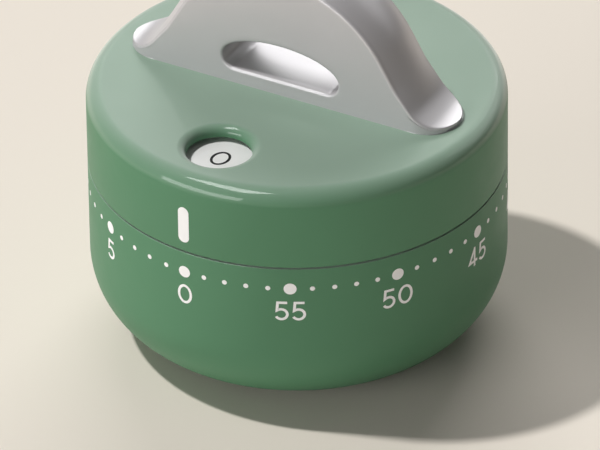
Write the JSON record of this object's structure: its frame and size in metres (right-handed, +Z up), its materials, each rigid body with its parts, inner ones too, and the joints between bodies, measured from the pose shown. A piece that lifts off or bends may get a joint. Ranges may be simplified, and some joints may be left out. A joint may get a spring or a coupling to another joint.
{
  "type": "kitchen timer",
  "caption": "Round wind-up kitchen timer: turning cap with a metal arch grip and window, over a base with a minute scale, clockwork and bell.",
  "frame": {"origin": "on the table, under the main arbor", "axes": "+Z up along the main arbor; -Y towards the index, the window and the scale's zero; the grip runs nearly along X"},
  "size_m": [0.072, 0.072, 0.0718],
  "materials": {
    "green_body": "satin",
    "grip_metal": "satin",
    "black_plastic": "matte",
    "foot_rubber": "matte",
    "white_plastic": "smooth",
    "carrier_plastic": "smooth",
    "steel": "satin",
    "spring_steel": "blued",
    "bell_metal": "polished",
    "brass": "satin"
  },
  "bodies": {
    "base": {"base_shell": "green_body", "bottom_cover": "black_plastic", "foot_ring": "foot_rubber", "cover_screws": "steel", "bearing_ring": "white_plastic", "bell": "bell_metal", "bell_post": "brass", "bell_screw": "steel", "movement_bottom_plate": "brass", "movement_top_plate": "brass", "plate_pillars": "steel", "pillar_screws": "steel", "movement_screws": "steel", "mainspring": "spring_steel", "stop_pin": "steel", "dial_carrier": "carrier_plastic", "dial_disc": "white_plastic", "dial_rivets": "steel", "detent_pin": "steel"},
    "turning_cap": {"cap": "green_body", "grip": "grip_metal", "grip_screws": "steel", "main_arbor": "steel", "stop_cam": "brass", "ratchet_wheel": "steel"},
    "drive_train": {"drive_wheel": "brass", "click_pin": "steel", "click_spring": "spring_steel"},
    "click_lever": {"click": "steel"},
    "second_train": {"second_wheel": "brass", "second_arbor": "steel", "strike_star": "brass"},
    "third_train": {"third_wheel": "brass", "third_arbor": "steel"},
    "escape_train": {"escape_wheel": "brass", "escape_arbor": "steel"},
    "anchor_lever": {"anchor": "steel", "anchor_arbor": "steel", "balance_bar": "brass"},
    "hammer": {"hammer_arbor": "steel", "hammer_arm": "steel", "hammer_tail": "steel", "hammer_head": "brass"},
    "detent": {"detent_arm": "steel"}
  },
  "joints": [
    {"name": "cap_turn", "type": "hinge", "parent": "base", "child": "turning_cap", "pos_m": [0, 0, 0.03], "axis": [0, 0, -1], "range_deg": [0, 354], "stiffness_Nm_per_rad": 0.0012, "springref_deg": -85.94},
    {"name": "drive_turn", "type": "hinge", "parent": "base", "child": "drive_train", "pos_m": [0, 0, 0.02], "axis": [0, 0, -1], "continuous": true},
    {"name": "second_turn", "type": "hinge", "parent": "base", "child": "second_train", "pos_m": [0, 0.0153, 0.02], "axis": [0, 0, -1], "continuous": true},
    {"name": "third_turn", "type": "hinge", "parent": "base", "child": "third_train", "pos_m": [0.01031, 0.01092, 0.02], "axis": [0, 0, -1], "continuous": true},
    {"name": "escape_turn", "type": "hinge", "parent": "base", "child": "escape_train", "pos_m": [0.01625, 0.00498, 0.02], "axis": [0, 0, -1], "continuous": true},
    {"name": "click_swing", "type": "hinge", "parent": "drive_train", "child": "click_lever", "pos_m": [-0.00745, -0.0043, 0.02], "axis": [0, 0, -1], "range_deg": [0, 8]},
    {"name": "anchor_rock", "type": "hinge", "parent": "base", "child": "anchor_lever", "pos_m": [0.01767, -0.00309, 0.02], "axis": [0, 0, 1], "range_deg": [-3, 3]},
    {"name": "hammer_swing", "type": "hinge", "parent": "base", "child": "hammer", "pos_m": [-0.009, 0.024, 0.012], "axis": [0, 0, 1], "range_deg": [-12, 2.5]},
    {"name": "detent_swing", "type": "hinge", "parent": "base", "child": "detent", "pos_m": [-0.00513, -0.01409, 0.03], "axis": [0, 0, -1], "range_deg": [0, 8]}
  ],
  "couplings": [
    {"joint": "drive_turn", "follows": "cap_turn", "ratio": 1},
    {"joint": "second_turn", "follows": "cap_turn", "ratio": -7.5},
    {"joint": "third_turn", "follows": "cap_turn", "ratio": 52.5},
    {"joint": "escape_turn", "follows": "cap_turn", "ratio": -315}
  ]
}
